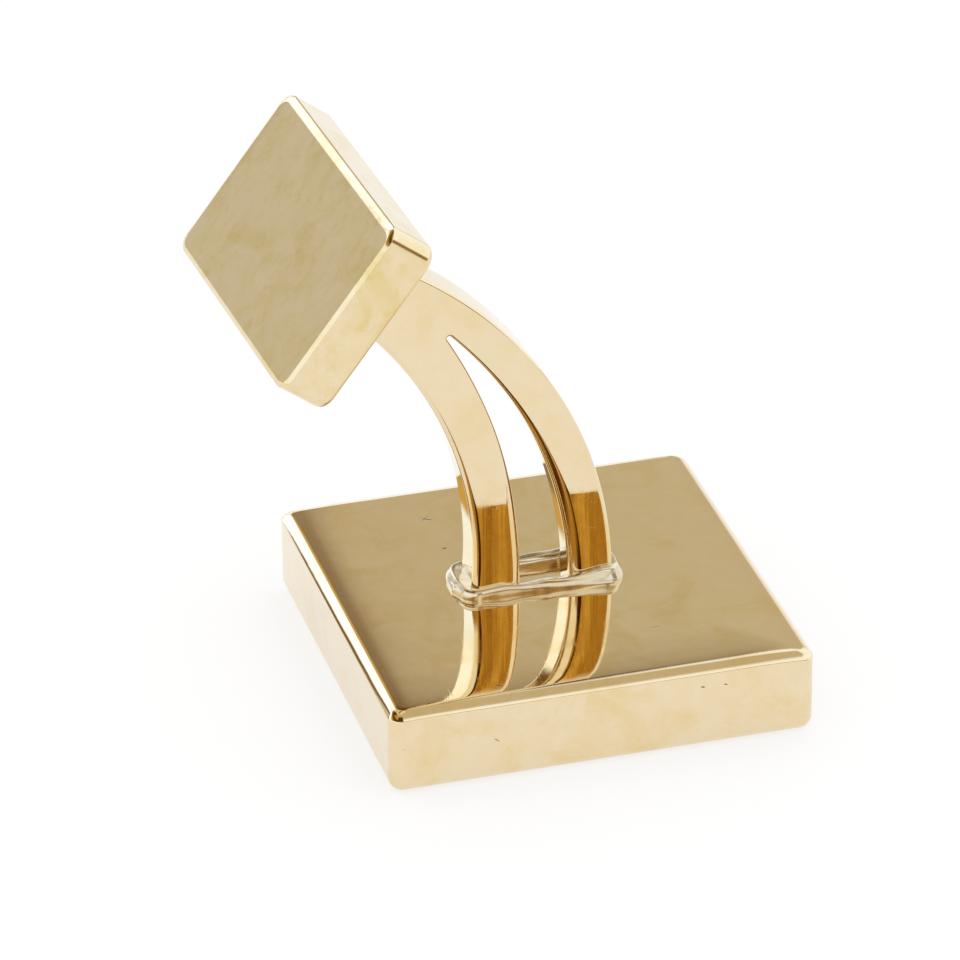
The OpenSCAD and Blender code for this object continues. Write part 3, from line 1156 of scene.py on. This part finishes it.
LIGHT_BEHIND = (1.1, 1.17, 1.27)
LIGHT_STRIP = (1.25, 1.5, 1.95)
NEAR_BROWN = (0.30, 0.18, 0.06)
OCHRE = (0.5, 0.3, 0.06)
OLD_GOLD = (0.55, 0.36, 0.10)
DEEP_BROWN = (0.11, 0.045, 0.008)
NEARLY_BLACK = (0.05, 0.02, 0.004)
FRAME_BROWN = (0.22, 0.13, 0.05)
HONEY = (0.75, 0.52, 0.17)
SAND, PALE_SAND = (0.62, 0.54, 0.40), (0.92, 0.86, 0.74)
EDGE_PALE, EDGE_DARK = (0.85, 0.80, 0.70), (0.35, 0.23, 0.09)

CAMERA_TURN, CAMERA_RISE, CAMERA_ROLL = -15.78, 28.98, -0.53     # degrees
CAMERA_PLACE = (-2.175, 6.135, 224.7)     # millimetres to its own right, up and backwards
CAMERA_SENSOR, CAMERA_LENS = 36.0, 241.8
CAMERA_CLIP = (0.01, 10.0)


def white_paper():
    """The floor's material, which glows where it is seen and lets a view from below through."""
    material = bpy.data.materials.new("floor_white")
    material.use_nodes = True
    tree = material.node_tree
    shader = tree.nodes["Principled BSDF"]
    set_inputs(shader, base_color=(FLOOR_GREY, FLOOR_GREY, FLOOR_GREY, 1.0), roughness=1.0,
               specular_ior_level=0.0, emission_color=(1.0, 1.0, 1.0, 1.0))
    path = add_node(tree, "ShaderNodeLightPath").outputs
    seen = calculate(tree, "MAXIMUM", path["Is Camera Ray"], path["Is Glossy Ray"])
    feed(tree, product(tree, seen, FLOOR_GLOW), shader.inputs["Emission Strength"])
    clear = add_node(tree, "ShaderNodeBsdfTransparent")
    choose = add_node(tree, "ShaderNodeMixShader")
    below = add_node(tree, "ShaderNodeNewGeometry").outputs["Backfacing"]
    for source, target in zip((below, shader.outputs[0], clear.outputs[0]), choose.inputs):
        feed(tree, source, target)
    feed(tree, choose.outputs[0], tree.nodes["Material Output"].inputs["Surface"])
    return material


def make_floor(radius):
    """A white floor that keeps the object's shadow."""
    turns = np.linspace(0, 2 * math.pi, FLOOR_STEPS + 1)[:-1]
    ring = [(radius * math.cos(a), radius * math.sin(a), -FLOOR_DROP) for a in turns]
    mesh = bpy.data.meshes.new("floor")
    mesh.from_pydata(ring, [], [tuple(range(len(ring)))])
    floor = bpy.data.objects.new("floor", mesh)
    bpy.context.scene.collection.objects.link(floor)
    mesh.materials.append(white_paper())


class CardPainter:
    """Colours the glowing dome round the object by direction: painted light, seen only where the
    metal mirrors it.

    A turn is counted in degrees from straight behind the object, past its right side and its
    front to its left side. Between there and straight behind it may be counted below 0 instead.
    A rise is counted from the floor up. A span is the angle at which a card starts, the one at
    which it ends, and how soft its two ends are, or one softness for both.
    """

    def __init__(self, tree):
        self.tree = tree
        unit = add_node(tree, "ShaderNodeVectorMath", operation="NORMALIZE")
        feed(tree, add_node(tree, "ShaderNodeTexCoord").outputs["Object"], unit.inputs[0])
        axes = add_node(tree, "ShaderNodeSeparateXYZ")
        feed(tree, unit.outputs[0], axes.inputs[0])
        x, y, z = axes.outputs
        self.rise = product(tree, calculate(tree, "ARCSINE", z), 180 / math.pi)
        self.turn = product(tree, calculate(tree, "ARCTAN2", x, y), 180 / math.pi)
        self.full_turn = calculate(tree, "FLOORED_MODULO", self.turn, 360.0)

    def within(self, angle, low, high, soft, soft_high=None):
        """1 between two angles, with soft ends."""
        soft_high = soft if soft_high is None else soft_high
        rising = ease(self.tree, angle, low - soft, low + soft)
        falling = ease(self.tree, angle, high - soft_high, high + soft_high, 1.0, 0.0)
        return product(self.tree, rising, falling)

    def shade(self, angle, start, end, first, second, most=1.0):
        """From one colour to another between two angles, and at most so far."""
        return blend_colour(self.tree, ease(self.tree, angle, start, end, 0.0, most), first, second)

    def card(self, colour, below, turns, rises):
        """A card of one colour laid over what is below it."""
        angle = self.turn if turns[0] < 0 else self.full_turn
        inside = product(self.tree, self.within(angle, *turns), self.within(self.rise, *rises))
        return blend_colour(self.tree, inside, below, colour)

    def streaks(self, dark, pale):
        """Upright streaks of two colours."""
        bands = add_node(self.tree, "ShaderNodeTexNoise", noise_dimensions="1D")
        set_inputs(bands, scale=0.65, detail=3.0)
        feed(self.tree, self.turn, bands.inputs["W"])
        share = ease(self.tree, bands.outputs["Fac"], 0.38, 0.64)
        return blend_colour(self.tree, share, dark, pale)


def high_left_card(paint):
    """Ochre below and deep brown above, with a patch of old gold that the end piece mirrors."""
    colour = paint.shade(paint.rise, 37.0, 45.0, OCHRE, DEEP_BROWN)
    return paint.card(OLD_GOLD, colour, (235.0, 310.0, 6.0), (52.0, 80.0, 4.0))


def low_back_card(paint, settings):
    """The khaki that the block's back mirrors: darker upwards, paler to the right, honey left."""
    tree, khaki, brown = paint.tree, tuple(settings.khaki), tuple(settings.brown)
    colour = paint.shade(paint.turn, 10.0, 20.0, khaki, tuple(settings.pale_khaki))
    climb = calculate(tree, "SUBTRACT", paint.rise, 30.6)
    climb = calculate(tree, "DIVIDE", climb, 15.5, clamp=True)
    colour = blend_colour(tree, calculate(tree, "POWER", climb, 0.8), colour, brown)
    colour = paint.shade(paint.turn, 13.0, 9.0, colour, brown, most=0.55)
    return paint.shade(paint.turn, 2.0, -3.0, colour, HONEY)


# Each card is painted light that glows, and it shows only as a reflection in the metal.
def card_colours(tree, settings):
    """All the cards, in the order in which they cover one another."""
    paint = CardPainter(tree)
    streaked = paint.streaks(tuple(settings.dark_amber), tuple(settings.amber))
    colour = paint.shade(paint.turn, -10.5, -15.0, LIGHT_BEHIND, tuple(settings.window))
    colour = paint.card(tuple(settings.pale_window), colour, (44.0, 300.0, 8.0),
                        (3.0, 50.0, 2.0, 6.0))
    colour = paint.shade(paint.rise, 52.0, 62.0, colour, tuple(settings.tan))
    colour = paint.card(NEAR_BROWN, colour, (118.0, 152.0, 4.0), (0.5, 15.0, 0.5, 4.0))
    colour = paint.card(high_left_card(paint), colour, (208.0, 336.0, 5.0), (33.0, 72.0, 2.0, 5.0))
    colour = paint.card(DEEP_BROWN, colour, (178.0, 212.0, 4.0), (45.0, 72.0, 3.0, 5.0))

    # What the block's rims and its flat back mirror.
    right_rim = paint.shade(paint.rise, 15.0, 5.0, SAND, PALE_SAND)
    colour = paint.card(right_rim, colour, (18.0, 42.0, 3.0, 4.0), (0.5, 37.0, 0.5, 4.0))
    colour = paint.card(LIGHT_STRIP, colour, (-19.0, -8.0, 1.5), (27.0, 36.0, 1.5))
    colour = paint.card(low_back_card(paint, settings), colour, (-9.0, 24.0, 1.5, 3.0),
                        (21.0, 58.0, 2.5, 5.0))
    colour = paint.card(FRAME_BROWN, colour, (-63.0, -31.0, 1.0), (2.0, 21.0, 1.0))
    colour = paint.card(tuple(settings.grey), colour, (-60.0, -33.5, 0.7), (2.0, 17.0, 0.7))

    # What the legs, the solder and the end piece mirror from in front.
    colour = paint.card(streaked, colour, (200.0, 232.0, 3.0, 4.0), (26.8, 40.0, 0.8, 5.0))
    colour = paint.card(streaked, colour, (140.0, 174.0, 3.0), (20.0, 36.0, 1.5, 2.0))
    colour = paint.card(streaked, colour, (172.0, 203.0, 3.0), (20.0, 46.0, 1.5, 3.0))
    colour = paint.card(NEARLY_BLACK, colour, (172.0, 207.0, 1.5), (26.8, 33.5, 0.8, 2.5))
    colour = paint.card(tuple(settings.amber), colour, (-31.0, -26.5, 0.8), (26.8, 31.0, 0.8))

    # A narrow band just above the floor, darkest in front.
    front = paint.within(paint.full_turn, 150.0, 210.0, 5.0)
    edge = blend_colour(tree, front, EDGE_PALE, EDGE_DARK)
    return blend_colour(tree, paint.within(paint.rise, 0.3, 3.0, 0.5), colour, edge)


def dome(radius):
    """Upper half of a ball, as a mesh."""
    points = []
    for rise in np.radians(np.linspace(0, 90, DOME_ROWS + 1)):
        for turn in np.linspace(0, 2 * math.pi, DOME_COLUMNS + 1)[:-1]:
            points.append((radius * math.cos(rise) * math.cos(turn),
                           radius * math.cos(rise) * math.sin(turn), radius * math.sin(rise)))
    faces = []
    for i in range(DOME_ROWS):
        for j in range(DOME_COLUMNS):
            a, b = i * DOME_COLUMNS + j, i * DOME_COLUMNS + (j + 1) % DOME_COLUMNS
            faces.append((a, a + DOME_COLUMNS, b + DOME_COLUMNS, b))
    mesh = bpy.data.meshes.new("cards")
    mesh.from_pydata(points, [], faces)
    return mesh


def make_cards(settings):
    """The cards round the object as one glowing dome of painted light, seen only by what reflects
    it.
    """
    mesh = dome(settings.dome_radius)
    cards = bpy.data.objects.new("cards", mesh)
    bpy.context.scene.collection.objects.link(cards)
    for flag in UNSEEN_BY:
        setattr(cards, flag, False)
    material = bpy.data.materials.new("card_paper")
    material.use_nodes = True
    tree = material.node_tree
    tree.nodes.clear()
    target = add_node(tree, "ShaderNodeOutputMaterial")
    glow = add_node(tree, "ShaderNodeEmission")
    glow.inputs["Strength"].default_value = 1.0
    feed(tree, card_colours(tree, settings), glow.inputs["Color"])
    feed(tree, glow.outputs[0], target.inputs["Surface"])
    mesh.materials.append(material)


def make_world():
    """Plain white light from all round."""
    world = bpy.data.worlds.new("studio")
    bpy.context.scene.world = world
    world.use_nodes = True
    set_inputs(world.node_tree.nodes["Background"], color=(1.0, 1.0, 1.0, 1.0), strength=1.0)


def make_camera():
    """The camera at the photograph's place."""
    turn, rise, roll = map(math.radians, (CAMERA_TURN, CAMERA_RISE, CAMERA_ROLL))
    back = np.array([math.sin(turn) * math.cos(rise), -math.cos(turn) * math.cos(rise),
                     math.sin(rise)])
    level = np.array([math.cos(turn), math.sin(turn), 0.0])
    upright = np.cross(back, level)
    right = math.cos(roll) * level + math.sin(roll) * upright
    up = -math.sin(roll) * level + math.cos(roll) * upright
    place = (CAMERA_PLACE[0] * right + CAMERA_PLACE[1] * up + CAMERA_PLACE[2] * back) * MM
    data = bpy.data.cameras.new("camera")
    data.sensor_width = CAMERA_SENSOR
    data.lens = CAMERA_LENS
    data.clip_start, data.clip_end = CAMERA_CLIP
    camera = bpy.data.objects.new("camera", data)
    axes = Matrix((right, up, back)).transposed()
    camera.matrix_world = Matrix.Translation(place) @ axes.to_4x4()
    bpy.context.scene.collection.objects.link(camera)
    bpy.context.scene.camera = camera


class CUFFLINK_OT_studio(bpy.types.Operator):
    """Set up the white floor, the glowing cards that the gold reflects, the light and the camera"""

    bl_idname = "cufflink.studio"
    bl_label = "Studio"

    def execute(self, context):
        settings = context.scene.cufflink_studio
        make_floor(settings.floor_radius)
        make_cards(settings)
        make_world()
        make_camera()
        context.scene.view_settings.view_transform = "Standard"
        return {"FINISHED"}


# ---------------------------------------------------------------- the add-on


GROUPS = {
    "cufflink_block": BlockSettings,
    "cufflink_post": PostSettings,
    "cufflink_end": EndSettings,
    "cufflink_solder": SolderSettings,
    "cufflink_finish": FinishSettings,
    "cufflink_studio": StudioSettings,
}
STEPS = (
    CUFFLINK_OT_studio,
    CUFFLINK_OT_face_tray,
    CUFFLINK_OT_back_sheet,
    CUFFLINK_OT_split_post,
    CUFFLINK_OT_foot_solder,
    CUFFLINK_OT_end_piece,
    CUFFLINK_OT_end_solder,
)


class CUFFLINK_PT_pieces(bpy.types.Panel):
    """The cufflink's pieces and settings"""

    bl_idname = "CUFFLINK_PT_pieces"
    bl_label = "Cufflink"
    bl_space_type = "VIEW_3D"
    bl_region_type = "UI"
    bl_category = "Cufflink"

    def draw(self, context):
        for operator in STEPS:
            self.layout.operator(operator.bl_idname)
        for name, group in GROUPS.items():
            column = self.layout.column()
            for key in group.__annotations__:
                column.prop(getattr(context.scene, name), key)


def register():
    for name, group in GROUPS.items():
        bpy.utils.register_class(group)
        setattr(bpy.types.Scene, name, PointerProperty(type=group))
    for operator in STEPS:
        bpy.utils.register_class(operator)
    bpy.utils.register_class(CUFFLINK_PT_pieces)


def unregister():
    bpy.utils.unregister_class(CUFFLINK_PT_pieces)
    for operator in reversed(STEPS):
        bpy.utils.unregister_class(operator)
    for name, group in reversed(list(GROUPS.items())):
        delattr(bpy.types.Scene, name)
        bpy.utils.unregister_class(group)


def main():
    register()
    for operator in STEPS:
        family, name = operator.bl_idname.split(".")
        getattr(getattr(bpy.ops, family), name)()


if __name__ == "__main__":
    main()
